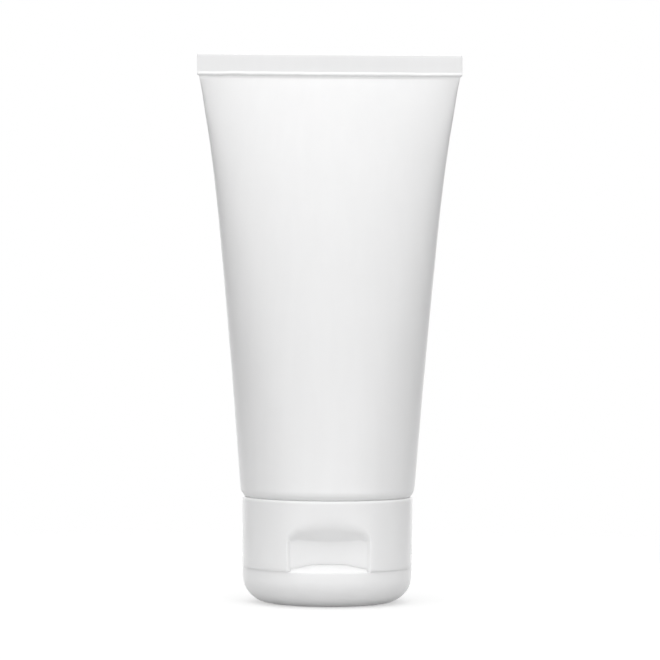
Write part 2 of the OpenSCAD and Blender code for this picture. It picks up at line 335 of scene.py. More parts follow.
def finish_mesh(
    name: str, mesh: bmesh.types.BMesh, sharp: float, material: bpy.types.Material
) -> bpy.types.Object:
    """Clean a mesh and make it an object.

    Args:
        name: Name of the piece.
        mesh: The mesh, in metres.
        sharp: Angle in degrees past which an edge is sharp.
        material: Its material.

    Returns:
        The object, at the origin.
    """
    bmesh.ops.remove_doubles(mesh, verts=mesh.verts, dist=WELD)
    bmesh.ops.dissolve_degenerate(mesh, edges=mesh.edges, dist=1e-7)
    bmesh.ops.recalc_face_normals(mesh, faces=mesh.faces)
    if mesh.calc_volume(signed=True) < 0:
        bmesh.ops.reverse_faces(mesh, faces=mesh.faces)
    for face in mesh.faces:
        face.smooth = True
    limit = math.radians(sharp)
    for edge in mesh.edges:
        edge.smooth = not (edge.is_manifold and edge.calc_face_angle(0.0) > limit)
    data = bpy.data.meshes.new(name)
    mesh.to_mesh(data)
    mesh.free()
    data.materials.clear()
    data.materials.append(material)
    made = bpy.data.objects.new(name, data)
    bpy.context.scene.collection.objects.link(made)
    return made


def columns_mesh(columns: Sequence[Sequence[Point]], closed: bool) -> bmesh.types.BMesh:
    """Join profiles that stand round the axis into a mesh.

    Args:
        columns: One list of points for each angle, all of the same length.
        closed: Whether each profile is a loop. Otherwise its ends lie on the axis.

    Returns:
        The mesh, in metres.
    """
    mesh = bmesh.new()
    grid = [[mesh.verts.new(Vector(p) * MM) for p in column] for column in columns]
    rows = len(columns[0])
    steps = rows if closed else rows - 1
    for i, here in enumerate(grid):
        there = grid[(i + 1) % len(grid)]
        for j in range(steps):
            k = (j + 1) % rows
            mesh.faces.new((here[j], there[j], there[k], here[k]))
    return mesh


def dress(piece: bpy.types.Object, body: Body, slot: Slot, *nodes: str) -> bpy.types.Object:
    """Let a piece ride on a body and stand for its nodes.

    Args:
        piece: The finished piece.
        body: The body it moves with.
        slot: Its material slot in the record. Not used.
        nodes: Nodes of the frame that it stands for.

    Returns:
        The piece.
    """
    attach(piece, body.value)
    if nodes:
        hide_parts(*nodes)
    report(piece)
    return piece


def report(piece: bpy.types.Object) -> None:
    """Log a piece's name and face count."""
    log.info("%s: %d faces", piece.name, len(piece.data.polygons))


@dataclass(frozen=True)
class Finish:
    """What every finish shares. Each kind adds its own pattern."""

    name: str
    colour: Colour
    roughness: float
    tone_change: float = 0.03
    gloss_change: float = 0.06
    coat: float = 0.0
    coat_roughness: float = 0.2
    scatter: float = 0.0
    scatter_reach: float = 1.4
    metallic: float = 0.0

    def build(self) -> bpy.types.Material:
        """Return the material.

        Returns:
            The material.
        """
        material = bpy.data.materials.new(self.name)
        material.use_nodes = True
        graph = Graph(material.node_tree)
        coords = graph.out("ShaderNodeTexCoord", output="Object")
        tone, gloss, height = self.pattern(graph, coords)
        dark = tuple(c * (1 - self.tone_change) for c in self.colour)
        bump = graph.out("ShaderNodeBump", {}, {"Strength": 1.0, "Distance": MM, "Height": height})
        shader = graph.node(
            "ShaderNodeBsdfPrincipled",
            {},
            {
                "Base Color": graph.blend(tone, dark, self.colour),
                "Roughness": self.roughness + (gloss - 0.5) * self.gloss_change,
                "Metallic": self.metallic,
                "Coat Weight": self.coat,
                "Coat Roughness": self.coat_roughness,
                "Subsurface Weight": self.scatter,
                "Subsurface Radius": (1.0, 1.0, 1.0),
                "Subsurface Scale": self.scatter_reach * MM,
                "Normal": bump,
            },
        )
        graph.node("ShaderNodeOutputMaterial", {}, {"Surface": shader.outputs[0]})
        return material

    def pattern(self, graph: Graph, coords: Value) -> tuple[Value, Value, Value]:
        """Return tone and gloss from 0 to 1, and height in millimetres.

        Args:
            graph: The material's tree.
            coords: Object coordinates in metres.

        Returns:
            The three values.
        """
        raise NotImplementedError(f"{type(self).__name__} has no pattern")


@dataclass(frozen=True)
class SleeveFinish(Finish):
    """Extruded sleeve: faint lines along it, an orange peel skin and handling marks."""

    line_scale: float = 420.0
    line_depth: float = 0.0025
    peel_depth: float = 0.006

    def pattern(self, graph: Graph, coords: Value) -> tuple[Value, Value, Value]:
        """Return tone, gloss and height of an extruded skin.

        Args:
            graph: The material's tree.
            coords: Object coordinates in metres.

        Returns:
            The three values.
        """
        long = graph.stretch(coords, (1.0, 1.0, 0.03))
        lines = graph.noise(long, self.line_scale, 2.0, 4.0)
        peel = graph.noise(coords, 700.0, 2.0, 5.0)
        cloud = graph.noise(coords, 28.0, 3.0, 6.0)
        scuff = graph.noise(graph.stretch(coords, (1.0, 1.0, 0.25)), 260.0, 5.0, 7.0)
        tone = (cloud * 0.7 + lines * 0.3).ramp(0.3, 0.7)
        gloss = peel * 0.4 + scuff.ramp(0.45, 0.75) * 0.6
        height = lines * self.line_depth + peel * self.peel_depth
        return tone, gloss, height


@dataclass(frozen=True)
class MouldedFinish(Finish):
    """Injection moulded plastic: fine spark texture and flow lines from the gate."""

    grain_scale: float = 1500.0
    grain_depth: float = 0.004
    flow_depth: float = 0.0015

    def pattern(self, graph: Graph, coords: Value) -> tuple[Value, Value, Value]:
        """Return tone, gloss and height of a moulded skin.

        Args:
            graph: The material's tree.
            coords: Object coordinates in metres.

        Returns:
            The three values.
        """
        flow = graph.noise(graph.stretch(coords, (1.0, 1.0, 0.12)), 160.0, 3.0, 8.0)
        grain = graph.noise(coords, self.grain_scale, 3.0, 9.0)
        cloud = graph.noise(coords, 60.0, 2.0, 10.0)
        tone = (cloud * 0.6 + flow * 0.4).ramp(0.3, 0.7)
        gloss = grain * 0.5 + cloud * 0.5
        return tone, gloss, grain * self.grain_depth + flow * self.flow_depth


@dataclass(frozen=True)
class FoilFinish(Finish):
    """Heat-seal foil with a fine pressed diamond pattern and soft creases."""

    pitch: float = 0.9
    press_depth: float = 0.05

    def pattern(self, graph: Graph, coords: Value) -> tuple[Value, Value, Value]:
        """Return tone, gloss and height of pressed foil.

        Args:
            graph: The material's tree.
            coords: Object coordinates in metres.

        Returns:
            The three values.
        """
        turn = 2 * math.pi / (self.pitch * MM)
        x, y, _ = graph.split(coords)
        one = ((x + y) * turn).own("SINE")
        two = ((x - y) * turn).own("SINE")
        crease = graph.noise(coords, 300.0, 4.0, 11.0)
        height = one * two * self.press_depth + crease * 0.15
        return crease.ramp(0.35, 0.65), crease, height


@dataclass(frozen=True)
class FoamFinish(Finish):
    """Closed-cell foam: small cells that show as pits."""

    cell_scale: float = 2600.0

    def pattern(self, graph: Graph, coords: Value) -> tuple[Value, Value, Value]:
        """Return tone, gloss and height of foam.

        Args:
            graph: The material's tree.
            coords: Object coordinates in metres.

        Returns:
            The three values.
        """
        cells = graph.out("ShaderNodeTexVoronoi", {}, {"Vector": coords, "Scale": self.cell_scale})
        cloud = graph.noise(coords, 200.0, 2.0, 12.0)
        return cells.ramp(0.1, 0.6), cloud, cells * 0.06


@dataclass(frozen=True)
class CreamFinish(Finish):
    """Smooth cream with slow swirls left by filling."""

    def pattern(self, graph: Graph, coords: Value) -> tuple[Value, Value, Value]:
        """Return tone, gloss and height of cream.

        Args:
            graph: The material's tree.
            coords: Object coordinates in metres.

        Returns:
            The three values.
        """
        swirl = graph.noise(graph.stretch(coords, (1.0, 1.0, 2.5)), 90.0, 3.0, 13.0)
        fine = graph.noise(coords, 900.0, 2.0, 14.0)
        return swirl.ramp(0.3, 0.7), fine, swirl * 0.4 + fine * 0.01


@dataclass(frozen=True)
class FloorFinish(Finish):
    """Matt studio paper that fades into the bright room away from the tube."""

    thin: float = 0.5
    fade_start: float = 40.0
    fade_end: float = 260.0

    def pattern(self, graph: Graph, coords: Value) -> tuple[Value, Value, Value]:
        """Return tone, gloss and height of paper.

        Args:
            graph: The material's tree.
            coords: Object coordinates in metres.

        Returns:
            The three values.
        """
        fibre = graph.noise(coords, 900.0, 3.0, 15.0)
        cloud = graph.noise(coords, 4.0, 2.0, 16.0)
        return cloud, fibre, fibre * 0.01

    def build(self) -> bpy.types.Material:
        """Return the material, clear where the paper has faded out.

        Returns:
            The material.
        """
        material = super().build()
        tree = material.node_tree
        graph = Graph(tree, empty=False)
        paper = next(n for n in tree.nodes if n.type == "BSDF_PRINCIPLED")
        end = next(n for n in tree.nodes if n.type == "OUTPUT_MATERIAL")
        x, y, _ = graph.split(graph.out("ShaderNodeTexCoord", output="Object"))
        away = (x * x + y * y) ** 0.5
        clear = graph.node("ShaderNodeBsdfTransparent")
        faded = away.ramp(self.fade_start * MM, self.fade_end * MM)
        share = self.thin + (1 - self.thin) * faded
        mixed = graph.node(
            "ShaderNodeMixShader", {}, {0: share, 1: paper.outputs[0], 2: clear.outputs[0]}
        )
        tree.links.new(mixed.outputs[0], end.inputs[0])
        return material


@dataclass(frozen=True)
class Finishes:
    """Every finish of the tube, as materials."""

    sleeve: bpy.types.Material
    head: bpy.types.Material
    foil: bpy.types.Material
    washer: bpy.types.Material
    cap: bpy.types.Material
    cream: bpy.types.Material
    floor: bpy.types.Material

    @classmethod
    def mixed(cls) -> "Finishes":
        """Return the finishes with their colours."""
        return cls(
            sleeve=SleeveFinish(
                "sleeve_skin",
                (0.86, 0.86, 0.862),
                0.40,
                coat=0.2,
                coat_roughness=0.28,
                scatter=0.35,
            ).build(),
            head=MouldedFinish("head_moulding", (0.80, 0.80, 0.775), 0.42, scatter=0.2).build(),
            foil=FoilFinish("seal_foil", (0.74, 0.745, 0.76), 0.30, metallic=1.0).build(),
            washer=FoamFinish("washer_foam", (0.70, 0.73, 0.76), 0.80).build(),
            cap=MouldedFinish(
                "cap_moulding",
                (0.85, 0.85, 0.852),
                0.34,
                tone_change=0.02,
                coat=0.3,
                coat_roughness=0.22,
                scatter=0.5,
            ).build(),
            cream=CreamFinish("cream", (0.90, 0.90, 0.885), 0.35, scatter=0.3).build(),
            floor=FloorFinish("studio_paper", (0.88, 0.88, 0.88), 0.9, tone_change=0.01).build(),
        )


@dataclass(frozen=True)
class SleeveLaw:
    """Width and depth of the sleeve at each height, at a constant girth.

    The methods take floats or node values alike, so that one law serves both.
    """

    radius: Any
    swell: Any
    even_share: Any
    flare_power: Any
    wedge: Any
    wedge_power: Any
    start: Any
    end: Any

    def rise(self, z: Any) -> Any:
        """Return how far a height has come, from 0 where it is round to 1 at the crimp.

        Args:
            z: Height in millimetres.

        Returns:
            The share, as a float or a node value.
        """
        share = (z - self.start) / (self.end - self.start)
        if isinstance(share, Value):
            return share.held(0.0, NEARLY_ONE)
        return clamp(share, 0.0, NEARLY_ONE)

    def girth(self, rise: Any) -> Any:
        """Return the half width that the girth allows at a rise.

        Args:
            rise: Rise from 0 at the round end to 1 at the crimp.
        """
        flat = self.radius * (math.pi / 2)
        widening = self.even_share * rise + (1 - self.even_share) * rise**self.flare_power
        return self.radius + (flat - self.radius) * widening

    def width(self, rise: Any) -> Any:
        """Return the half width at a rise."""
        return self.girth(rise) + self.swell * (1 - rise)

    def depth(self, rise: Any) -> Any:
        """Return the half depth at a rise.

        Args:
            rise: Rise from 0 at the round end to 1 at the crimp.

        Returns:
            The half depth, as a float or a node value.
        """
        power = math.log(2) / math.log(math.pi / 2)
        flat = self.radius * (math.pi / 2)
        left = flat**power - self.girth(rise) ** power
        squarer = 1 - self.wedge * rise**self.wedge_power
        return left ** (1 / power) * squarer + self.swell * (1 - rise)


def crowded(share: Value, amount: float) -> Value:
    """Return a share along a sheet, with its rows closer together near both ends."""
    return share - (share * (2 * math.pi)).own("SINE") * amount


def named(sizes: object, *fields: str) -> dict[str, float]:
    """Return an object's fields as inputs of a tree, such as Edge In for edge_in."""
    return {field.replace("_", " ").title(): getattr(sizes, field) for field in fields}


class Sheets:
    """Grid sheets of one Geometry Nodes tree, which its named inputs shape."""

    def __init__(self, name: str, inputs: dict[str, float]) -> None:
        """Start a tree with float inputs and a material input.

        Args:
            name: Name of the tree.
            inputs: Default value of each named input.
        """
        self.inputs = inputs
        tree = bpy.data.node_groups.new(name, "GeometryNodeTree")
        self.graph = Graph(tree)
        tree.interface.new_socket("Geometry", in_out="INPUT", socket_type="NodeSocketGeometry")
        for key in inputs:
            tree.interface.new_socket(key, in_out="INPUT", socket_type="NodeSocketFloat")
        tree.interface.new_socket("Material", in_out="INPUT", socket_type="NodeSocketMaterial")
        tree.interface.new_socket("Geometry", in_out="OUTPUT", socket_type="NodeSocketGeometry")
        self.entry = tree.nodes.new("NodeGroupInput")
        self.parts: list[Value] = []

    def __getitem__(self, key: str) -> Value:
        """Return a named input."""
        return Value(self.graph, self.entry.outputs[key])

    def sheet(
        self, rows: int, around: int, shape: Callable[[Value, Value], Value], flip: bool = False
    ) -> None:
        """Add a sheet that runs round an axis.

        Args:
            rows: Number of rows of vertices along the sheet.
            around: Number of faces round it.
            shape: Takes the share along the sheet and the share round it, both from
                0 to 1, and returns a place in millimetres.
            flip: Whether the faces are turned over.
        """
        grid = self.graph.out(
            "GeometryNodeMeshGrid",
            {},
            {"Size X": 1.0, "Size Y": 1.0, "Vertices X": rows, "Vertices Y": around + 1},
        )
        x, y, _ = self.graph.split(self.graph.out("GeometryNodeInputPosition"))
        spot = shape(x + 0.5, y + 0.5)
        placed = self.graph.placed(grid, spot)
        if flip:
            placed = self.graph.out("GeometryNodeFlipFaces", {}, {0: placed})
        self.parts.append(placed)

    def instances(self, item: Value, spots: Value, turn: Value) -> None:
        """Add an item at every spot, turned by an Euler rotation."""
        self.parts.append(
            self.graph.out(
                "GeometryNodeInstanceOnPoints",
                {},
                {"Points": spots, "Instance": item, "Rotation": turn},
            )
        )

    def bake(self, name: str, material: bpy.types.Material, sharp: float) -> bpy.types.Object:
        """Close the tree, run it and keep the result as a plain mesh.

        Args:
            name: Name of the piece.
            material: The material it sets.
            sharp: Angle in degrees past which an edge is sharp.

        Returns:
            The finished object, at the origin and with no modifier.
        """
        graph = self.graph
        join = graph.node("GeometryNodeJoinGeometry")
        for part in reversed(self.parts):
            graph.tree.links.new(part.socket, join.inputs[0])
        welded = graph.out(
            "GeometryNodeMergeByDistance",
            {},
            {"Geometry": join.outputs[0], "Distance": WELD},
        )
        real = graph.out("GeometryNodeRealizeInstances", {}, {"Geometry": welded})
        done = graph.out(
            "GeometryNodeSetMaterial", {}, {"Geometry": real, "Material": self["Material"]}
        )
        graph.node("NodeGroupOutput", {}, {"Geometry": done})
        holder = bpy.data.objects.new(name + "_seed", bpy.data.meshes.new(name + "_seed"))
        bpy.context.scene.collection.objects.link(holder)
        modifier = holder.modifiers.new("shape", "NODES")
        modifier.node_group = graph.tree
        for item in graph.tree.interface.items_tree:
            if item.in_out == "INPUT" and item.name in self.inputs:
                modifier[item.identifier] = float(self.inputs[item.name])
            elif item.in_out == "INPUT" and item.name == "Material":
                modifier[item.identifier] = material
        evaluated = holder.evaluated_get(bpy.context.evaluated_depsgraph_get())
        data = bpy.data.meshes.new_from_object(evaluated)
        holder.modifiers.clear()
        bpy.data.objects.remove(holder)
        mesh = bmesh.new()
        mesh.from_mesh(data)
        bpy.data.meshes.remove(data)
        return finish_mesh(name, mesh, sharp, material)


@dataclass
class Sleeve:
    """The filled sleeve: round at the cap, flat at the crimp."""

    round_radius: float = 20.0
    swell: float = 0.53
    even_share: float = 0.8
    flare_power: float = 6.3
    wedge: float = 0.55
    wedge_power: float = 4.0
    edge_height: float = 2.2
    edge_in: float = 1.0
    edge_wall: float = 0.3
    wall: float = 0.5
    slim: float = 0.2
    shoulder_in: float = 0.3
    crimp_height: float = 4.1
    bead_height: float = 1.2
    bead_out: float = 0.30
    half_crimp: float = 0.45
    crimp_round: float = 0.16
    slab: float = 0.25
    overlap: float = 0.13
    dent: float = 0.22
    wave: float = 0.22
    least_depth: float = 0.1

    def build(self, finishes: Finishes) -> bpy.types.Object:
        """Return the sleeve, made by its tree.

        Args:
            finishes: Every finish of the tube.

        Returns:
            The finished sleeve.
        """
        low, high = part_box("tube_sleeve")
        base, top = low.z / MM - self.overlap, high.z / MM
        bead = top - self.crimp_height - self.bead_height
        inputs = named(
            self,
            "round_radius",
            "swell",
            "even_share",
            "flare_power",
            "wedge",
            "wedge_power",
            "edge_height",
            "edge_in",
            "edge_wall",
            "wall",
            "bead_height",
            "bead_out",
            "half_crimp",
            "crimp_round",
            "slab",
            "slim",
            "shoulder_in",
            "dent",
            "wave",
        )
        places = {"Base Height": base, "Bead Base": bead, "Top": top}
        sheets = Sheets("sleeve_shape", inputs | places)
        self.outside(sheets)
        self.crimp(sheets)
        self.rim(sheets)
        self.inside(sheets)
        made = sheets.bake("sleeve_body", finishes.sleeve, 40.0)
        return dress(made, Body.TUBE, Slot.SLEEVE, "tube_sleeve")

    def law(self, sheets: Sheets) -> SleeveLaw:
        """Return the sleeve's law on the tree's inputs."""
        return SleeveLaw(
            sheets["Round Radius"],
            sheets["Swell"],
            sheets["Even Share"],
            sheets["Flare Power"],
            sheets["Wedge"],
            sheets["Wedge Power"],
            sheets["Base Height"] + sheets["Edge Height"] / 2,
            sheets["Bead Base"],
        )

    @staticmethod
    def ring(graph: Graph, width: Value, depth: Value, z: Value, turn: Value, square: Any) -> Value:
        """Return a place on a section.

        Args:
            graph: The tree.
            width: Half width of the section.
            depth: Half depth.
            z: Height.
            turn: Share of the way round.
            square: Power of the depth: 1 is an ellipse, more is a lens, less is a slab.

        Returns:
            The place in millimetres.
        """
        angle = turn * (2 * math.pi)
        across = angle.own("COSINE")
        along = angle.own("SINE")
        size = (along.own("ABSOLUTE") - SEAM).held(0.0) ** square
        return graph.vector(width * across, depth * size * along.own("SIGN"), z)

    @staticmethod
    def tuck(sheets: Sheets, z: Value) -> Value:
        """Return how far the rounded lower edge draws the wall in at a height."""
        into = ((z - sheets["Base Height"]) / sheets["Edge Height"]).held(high=1.0)
        return sheets["Edge In"] * (1 - into) ** EDGE_POWER

    def outside(self, sheets: Sheets) -> None:
        """Add the outer wall from the lower edge to the bead.

        Args:
            sheets: The tree that the sheets are added to.
        """
        law = self.law(sheets)
        graph = sheets.graph

        def shape(up: Value, turn: Value) -> Value:
            """Return a place on the outer wall.

            Args:
                up: Share of the way up.
                turn: Share of the way round.

            Returns:
                The place in millimetres.
            """
            even = crowded(up, 0.145)
            z = sheets["Base Height"] + (sheets["Bead Base"] - sheets["Base Height"]) * even
            rise = law.rise(z)
            cut = self.tuck(sheets, z)
            slim = sheets["Slim"] * rise.ramp(0.0, 0.3)
            slim = slim + sheets["Shoulder In"] * rise.ramp(0.9, 1.0)
            depth = law.depth(rise).held(sheets["Half Crimp"])
            angle = turn * (2 * math.pi)
            around = graph.vector(angle.own("COSINE") * 24.0, angle.own("SINE") * 24.0, z)
            soft = graph.noise(graph.stretch(around, (1.0, 1.0, 0.6)), 0.045, 1.5, 3.0)
            keep = rise.ramp(0.02, 0.25) * (1 - rise.ramp(0.8, 1.0))
            push = (soft - 0.5) * sheets["Dent"] * keep
            square = 1 - sheets["Slab"] * rise.ramp(0.05, 0.6)
            return self.ring(
                graph,
                law.width(rise) - cut - slim + push * 0.3,
                depth - cut + push,
                z,
                turn,
                square,
            )

        sheets.sheet(200, SLEEVE_AROUND, shape)

    def crimp(self, sheets: Sheets) -> None:
        """Add the bead and the flat welded band, closed along its top.

        Args:
            sheets: The tree that the sheets are added to.
        """
        graph = sheets.graph
        flat = sheets["Round Radius"] * (math.pi / 2)

        def shape(up: Value, turn: Value) -> Value:
            """Return a place on the bead or the band.

            Args:
                up: Share of the way up.
                turn: Share of the way round.

            Returns:
                The place in millimetres.
            """
            z = sheets["Bead Base"] + (sheets["Top"] - sheets["Bead Base"]) * up
            into = (z - sheets["Bead Base"]) / sheets["Bead Height"]
            hump = into.ramp(0.0, 0.4) * (1 - into.ramp(0.55, 1.0))
            left = (z - (sheets["Top"] - sheets["Crimp Round"])) / sheets["Crimp Round"]
            left = left.held(0.0, 1.0)
            bevel = sheets["Crimp Round"] * (1 - (1 - left * left) ** 0.5)
            closing = up.math("LESS_THAN", up, NEARLY_ONE)
            depth = sheets["Half Crimp"] + sheets["Bead Out"] * hump - bevel
            square = 0.28 + (0.72 - sheets["Slab"]) * (1 - into.ramp(0.0, 0.5))
            angle = turn * (2 * math.pi)
            spot = graph.vector(angle.own("COSINE") * 31.0, 0.0, 7.0)
            wavy = (graph.noise(spot, 0.16, 2.0, 5.0) - 0.5) * sheets["Wave"] * 2.0
            lift = wavy * into.ramp(0.0, 0.3) * (1 - into.ramp(1.0, 1.8))
            step = (sheets["Slim"] + sheets["Shoulder In"]) * (1 - into.ramp(0.0, 0.45))
            return self.ring(graph, flat - bevel - step, depth * closing, z + lift, turn, square)

        sheets.sheet(64, SLEEVE_AROUND, shape)

    def rim(self, sheets: Sheets) -> None:
        """Add the lower rim between the outer and the inner wall.

        Args:
            sheets: The tree that the sheets are added to.
        """
        graph = sheets.graph

        def shape(out: Value, turn: Value) -> Value:
            """Return a place on the rim.

            Args:
                out: Share of the way out.
                turn: Share of the way round.

            Returns:
                The place in millimetres.
            """
            outer = sheets["Round Radius"] + sheets["Swell"] - sheets["Edge In"]
            radius = outer - sheets["Edge Wall"] * (1 - out)
            return self.ring(graph, radius, radius, sheets["Base Height"], turn, 1.0)

        sheets.sheet(3, SLEEVE_AROUND, shape)

    def inside(self, sheets: Sheets) -> None:
        """Add the inner wall, closed where the two walls meet.

        Args:
            sheets: The tree that the sheets are added to.
        """
        law = self.law(sheets)
        graph = sheets.graph

        def shape(up: Value, turn: Value) -> Value:
            """Return a place on the inner wall.

            Args:
                up: Share of the way up.
                turn: Share of the way round.

            Returns:
                The place in millimetres.
            """
            even = crowded(up, 0.1)
            end = sheets["Bead Base"] - sheets["Wall"]
            z = sheets["Base Height"] + (end - sheets["Base Height"]) * even
            rise = law.rise(z)
            open_out = (z - sheets["Base Height"]).ramp(1.8, 3.2)
            plain = sheets["Round Radius"] - sheets["Wall"]
            tucked = sheets["Round Radius"] + sheets["Swell"] - sheets["Edge Wall"]
            tucked = tucked - self.tuck(sheets, z)
            plain = plain.held(high=tucked)
            width = plain + (law.width(rise) - sheets["Round Radius"]) * open_out
            room = law.depth(rise) - sheets["Round Radius"]
            depth = (plain + room * open_out).held(self.least_depth)
            depth = depth * up.math("LESS_THAN", up, NEARLY_ONE)
            square = 1 - sheets["Slab"] * rise.ramp(0.05, 0.6)
            return self.ring(graph, width, depth, z, turn, square)

        sheets.sheet(60, SLEEVE_AROUND, shape, flip=True)


@dataclass
class Thread:
    """A helical ridge on a round wall."""

    name: str
    root: float
    tip: float
    start: float
    turns: float
    side: Side
    lead: float = 3.2
    root_width: float = 2.1
    crest_width: float = 0.9
    sink: float = 0.25

    def build(self, material: bpy.types.Material) -> bpy.types.Object:
        """Return the ridge, made by its tree.

        Args:
            material: Its material.

        Returns:
            The finished ridge.
        """
        sheets = Sheets(
            self.name + "_shape",
            {
                "Root Radius": self.root - self.side.value * self.sink,
                "Tip Radius": self.tip,
                "Start Height": self.start,
                "Turns": self.turns,
                "Lead": self.lead,
                "Root Width": self.root_width,
                "Crest Width": self.crest_width,
            },
        )
        graph = sheets.graph

        def shape(along: Value, turn: Value) -> Value:
            """Return a place on the ridge's skin.

            Args:
                along: Share of the way along the ridge.
                turn: Share of the way round.

            Returns:
                The place in millimetres.
            """
            grow = along.ramp(0.0, 0.045) * (1 - along.ramp(0.955, 1.0))
            angle = turn * (2 * math.pi)
            outward, upward = angle.own("COSINE"), angle.own("SINE")
            bulge = outward.own("ABSOLUTE") ** 0.5 * outward.own("SIGN")
            lift = upward.own("ABSOLUTE") ** 0.5 * upward.own("SIGN")
            share = (bulge + 1) / 2
            reach = (sheets["Tip Radius"] - sheets["Root Radius"]) * share * grow
            wide = sheets["Root Width"] + (sheets["Crest Width"] - sheets["Root Width"]) * share
            way = along * sheets["Turns"] * (2 * math.pi)
            radius = sheets["Root Radius"] + reach
            z = sheets["Start Height"] + along * sheets["Turns"] * sheets["Lead"]
            return graph.vector(
                radius * way.own("COSINE"),
                radius * way.own("SINE"),
                z + wide * lift * grow / 2,
            )

        sheets.sheet(int(72 * self.turns), 14, shape)
        return sheets.bake(self.name, material, 50.0)


@dataclass
class Head:
    """Shoulder and neck, with the foil over its mouth."""

    neck: float = 8.0
    bore: float = 6.5
    seat: float = 18.3
    rim: float = 19.45
    rounding: float = 1.1
    shoulder: float = 1.25
    drop: float = 2.4
    thread_height: float = 1.0
    thread_margin: float = 1.5
    foil: float = 0.1

    def build(self, finishes: Finishes) -> None:
        """Build the head, its thread and the foil.

        Args:
            finishes: Every finish of the tube.
        """
        low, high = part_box("tube_head")
        mouth, top = low.z / MM, high.z / MM
        seat_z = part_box("tube_sleeve")[0].z / MM
        root_z = seat_z - self.drop
        angles = mirrored([(0, 180, 4)])
        profile = [
            (self.bore, mouth + 0.15),
            *arc((self.bore + 0.15, mouth + 0.15), 0.15, 180, 270, 3),
            *arc((self.neck - 0.25, mouth + 0.25), 0.25, 270, 360, 4),
            (self.neck, (mouth + root_z) / 2),
            *arc((self.neck + 0.4, root_z - 0.35), 0.4, 180, 100, 4),
            *[
                (self.neck + 0.7 + (self.seat - self.neck - 0.7) * s, root_z + self.drop * s**1.02)
                for s in spread(0.02, 0.97, 0.1)
            ],
            (self.seat, seat_z),
            *arc((self.rim - self.rounding, seat_z + self.rounding), self.rounding, 270, 360, 6),
            (self.rim, top - 0.2),
            (self.rim - 0.2, top),
            (self.rim - self.shoulder / 2, top),
            (self.seat, seat_z + self.shoulder + 0.1),
            *[
                (self.seat + (self.bore - self.seat) * s, seat_z + self.shoulder - self.drop * s)
                for s in spread(0.08, 0.95, 0.12)
            ],
            (self.bore, root_z + self.shoulder - 0.2),
            (self.bore, (mouth + root_z) / 2),
        ]
        columns = [[place(a, r, z) for r, z in profile] for a in angles]
        body = finish_mesh("head_body", columns_mesh(columns, True), 40.0, finishes.head)
        dress(body, Body.TUBE, Slot.HEAD, "tube_head")
        margin = self.thread_margin
        turns = (root_z - mouth - 2 * margin) / Thread.lead
        ridge = Thread(
            "neck_thread",
            self.neck,
            self.neck + self.thread_height,
            mouth + margin,
            turns,
            Side.OUT,
        ).build(finishes.head)
        dress(ridge, Body.TUBE, Slot.HEAD)
        self.seal(finishes)

    def seal(self, finishes: Finishes) -> None:
        """Build the foil with its half-moon tab folded onto its face.

        Args:
            finishes: Every finish of the tube.
        """
        low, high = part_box("foil_seal")
        bottom, top = low.z / MM, high.z / MM
        radius = high.x / MM
        rings = spread(0.0, radius - 0.05, 0.35)
        columns = []
        for a in mirrored([(0, 84, 4), (84, 96, 1.5), (96, 180, 4)]):
            rows: list[Point] = [place(a, 0.0, top)]
            rows += [place(a, r, top) for r in rings[1:]]
            rows.append(place(a, radius, (top + bottom + self.foil) / 2))
            for r in reversed(rings):
                x, y, _ = place(a, r, 0.0)
                tab = smooth(y, -0.12, 0.12)
                wrinkle = 0.02 * noise.noise(Vector((x * 0.9, y * 0.9, 4.0)))
                ring = smooth(r, self.bore - 0.4, self.bore)
                low_z = bottom + self.foil * (1 - tab) + (wrinkle + 0.02) * (1 - ring)
                rows.append(place(a, r, max(bottom, low_z)))
            columns.append(rows)
        foil = finish_mesh("foil_disc", columns_mesh(columns, False), 50.0, finishes.foil)
        dress(foil, Body.TUBE, Slot.FOIL, "foil_seal")


@dataclass
class Cream:
    """The cream inside, up to the air below the crimp."""

    gap: float = 0.45
    wall: float = 0.5
    neck: float = 6.25

    def build(self, sleeve: Sleeve, finishes: Finishes) -> None:
        """Build the fill from the sleeve's own law, with a soft uneven top.

        Args:
            sleeve: The sleeve that it fills.
            finishes: Every finish of the tube.
        """
        low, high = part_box("cream_fill")
        bottom, top = low.z / MM, high.z / MM
        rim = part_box("tube_head")[1].z / MM
        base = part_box("tube_sleeve")[0].z / MM
        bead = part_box("tube_sleeve")[1].z / MM - sleeve.crimp_height - sleeve.bead_height
        law = SleeveLaw(
            sleeve.round_radius,
            sleeve.swell,
            sleeve.even_share,
            sleeve.flare_power,
            sleeve.wedge,
            sleeve.wedge_power,
            base + sleeve.edge_height / 2,
            bead,
        )
        shoulder = base - Head.drop + Head.shoulder + 0.35
        wide = Head.rim - Head.shoulder - 0.2
        columns = []
        for a in mirrored([(0, 180, 4)]):
            rows = [
                place(a, r, z)
                for r, z in (
                    (0.0, bottom + 0.1),
                    (self.neck - 0.3, bottom + 0.1),
                    (self.neck, bottom + 0.4),
                    (self.neck, shoulder),
                    (wide, rim + 0.3),
                )
            ]
            for s in spread(0.0, 1.0, 0.04):
                z = rim + 1.3 + (top - 1.6 - rim - 1.3) * s
                rise = law.rise(z)
                inset = self.gap + self.wall
                rows.append(
                    (
                        (law.width(rise) - inset) * math.sin(a),
                        -(law.depth(rise) - inset) * math.cos(a),
                        z,
                    )
                )
            edge = Vector(rows[-1])
            for s in spread(0.06, 1.0, 0.1):
                x, y = edge.x * (1 - s), edge.y * (1 - s)
                bulge = 0.9 * smooth(s, 0.0, 0.5)
                ripple = 0.5 * noise.noise(Vector((x * 0.12, y * 0.12, 2.0))) * smooth(s, 0, 0.3)
                rows.append((x, y, min(top, edge.z + bulge + ripple)))
            columns.append(rows)
        fill = finish_mesh("cream_body", columns_mesh(columns, False), 50.0, finishes.cream)
        dress(fill, Body.TUBE, Slot.CREAM, "cream_fill")


